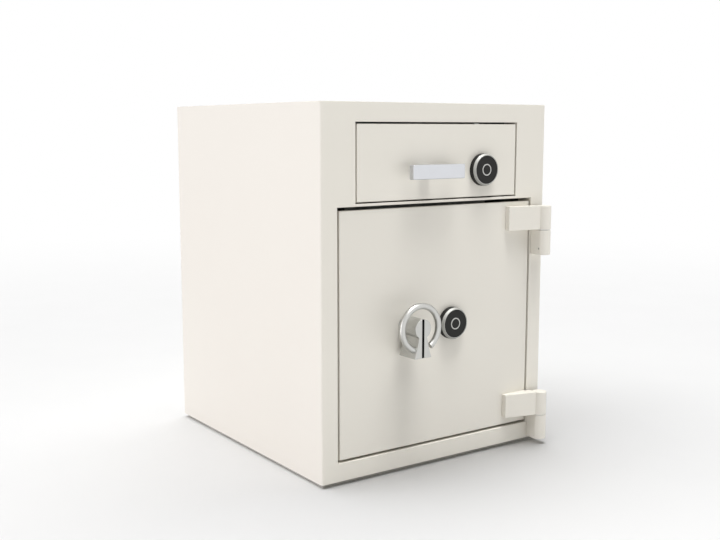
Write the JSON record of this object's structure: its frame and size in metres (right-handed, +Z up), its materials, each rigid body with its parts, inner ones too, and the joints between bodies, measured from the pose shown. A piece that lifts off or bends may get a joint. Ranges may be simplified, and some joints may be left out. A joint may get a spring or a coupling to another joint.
{
  "type": "drop safe with deposit drawer",
  "caption": "Free-standing steel drop safe: a deposit drawer with lock dial and pull bar above a hinged vault door with lock dial, ring handle and side bolts; the drawer drops into the vault.",
  "frame": {"origin": "centre of the underside of the base plate, on the floor, midway between the cabinet's sides and midway between its front face and its back", "axes": "+Z up from the floor, -Y out of the front face where the drawer and the door are, +X to the right seen from the front, which is the hinge side"},
  "size_m": [0.624, 0.727, 0.802],
  "materials": {
    "cream_paint": "cream powder coat on steel, fine texture, satin",
    "grey_paint": "grey primer and paint on the inner sheet steel, matt",
    "barrier_fill": "cast concrete barrier, rough",
    "zinc_steel": "zinc-plated steel, dull",
    "satin_nickel": "satin nickel plating",
    "bright_chrome": "bright plating, lightly worn",
    "black_plastic": "satin black moulding"
  },
  "bodies": {
    "cabinet": {"base_plate": "grey_paint", "outer_shell": "cream_paint", "back_plate": "cream_paint", "barrier_bottom": "barrier_fill", "barrier_top": "barrier_fill", "barrier_left": "barrier_fill", "barrier_right": "barrier_fill", "barrier_back": "barrier_fill", "inner_liner": "grey_paint", "frame_left": "cream_paint", "frame_right": "cream_paint", "frame_sill": "cream_paint", "frame_header": "cream_paint", "bay_floor": "cream_paint", "bay_side_left": "grey_paint", "bay_side_right": "grey_paint", "drop_chute": "grey_paint", "slide_outer_left": "zinc_steel", "slide_outer_right": "zinc_steel", "hinge_knuckle_upper": "cream_paint", "hinge_knuckle_lower": "cream_paint", "hinge_pin_upper": "zinc_steel", "hinge_pin_lower": "zinc_steel", "hinge_set_screw": "zinc_steel"},
    "slide_middles": {"slide_middle_left": "zinc_steel", "slide_middle_right": "zinc_steel"},
    "drawer": {"drawer_front": "cream_paint", "drawer_tray": "grey_paint", "slide_inner_left": "zinc_steel", "slide_inner_right": "zinc_steel", "pull_bar": "bright_chrome", "drawer_dial_base": "black_plastic", "drawer_lock_case": "zinc_steel", "flap_pin": "zinc_steel", "flap_spring": "zinc_steel"},
    "flap": {"trap_flap": "zinc_steel"},
    "drawer_dial": {"drawer_dial_bezel": "satin_nickel", "drawer_dial_knob": "black_plastic", "drawer_dial_ring": "satin_nickel"},
    "drawer_lock": {"drawer_lock_bolt": "zinc_steel"},
    "door": {"door_plate": "cream_paint", "door_barrier": "barrier_fill", "door_cover": "grey_paint", "dog_bar": "zinc_steel", "door_dial_base": "black_plastic", "door_lock_case": "zinc_steel", "hinge_leaf_upper": "cream_paint", "hinge_leaf_lower": "cream_paint"},
    "door_dial": {"door_dial_bezel": "satin_nickel", "door_dial_knob": "black_plastic", "door_dial_ring": "satin_nickel"},
    "door_lock": {"door_lock_bolt": "zinc_steel"},
    "handle": {"handle_block": "satin_nickel", "handle_inlay": "black_plastic", "handle_ring": "satin_nickel", "handle_shaft": "zinc_steel"},
    "boltwork": {"door_bolt_lower": "zinc_steel", "door_bolt_middle": "zinc_steel", "door_bolt_upper": "zinc_steel", "bolt_bar": "zinc_steel"}
  },
  "joints": [
    {"name": "drawer_slide", "type": "slide", "parent": "cabinet", "child": "drawer", "axis": [0, -1, 0], "range_m": [0, 0.33]},
    {"name": "slide_middles_slide", "type": "slide", "parent": "cabinet", "child": "slide_middles", "axis": [0, -1, 0], "range_m": [0, 0.165]},
    {"name": "flap_swing", "type": "hinge", "parent": "drawer", "child": "flap", "pos_m": [0, -0.2445, 0.6018], "axis": [-1, 0, 0], "range_deg": [0, 65], "stiffness_Nm_per_rad": 0.9, "springref_deg": -103.13},
    {"name": "drawer_dial_turn", "type": "hinge", "parent": "drawer", "child": "drawer_dial", "pos_m": [0.1183, -0.3485, 0.6565], "axis": [0, 1, 0], "continuous": true},
    {"name": "drawer_lock_bolt_slide", "type": "slide", "parent": "drawer", "child": "drawer_lock", "axis": [0, 0, 1], "range_m": [0, 0.01]},
    {"name": "door_swing", "type": "hinge", "parent": "cabinet", "child": "door", "pos_m": [0.2895, -0.3595, 0.3], "axis": [0, 0, 1], "range_deg": [0, 180]},
    {"name": "door_dial_turn", "type": "hinge", "parent": "door", "child": "door_dial", "pos_m": [0.0347, -0.3485, 0.31685], "axis": [0, 1, 0], "continuous": true},
    {"name": "door_lock_bolt_slide", "type": "slide", "parent": "door", "child": "door_lock", "axis": [0, 0, 1], "range_m": [0, 0.01]},
    {"name": "handle_turn", "type": "hinge", "parent": "door", "child": "handle", "pos_m": [-0.0952, -0.3625, 0.32685], "axis": [0, 1, 0], "range_deg": [0, 90]},
    {"name": "boltwork_slide", "type": "slide", "parent": "door", "child": "boltwork", "axis": [-1, 0, 0], "range_m": [0, 0.024]}
  ],
  "couplings": [
    {"joint": "slide_middles_slide", "follows": "drawer_slide", "ratio": 0.5},
    {"joint": "boltwork_slide", "follows": "handle_turn", "m_per_rad": 0.015279}
  ]
}
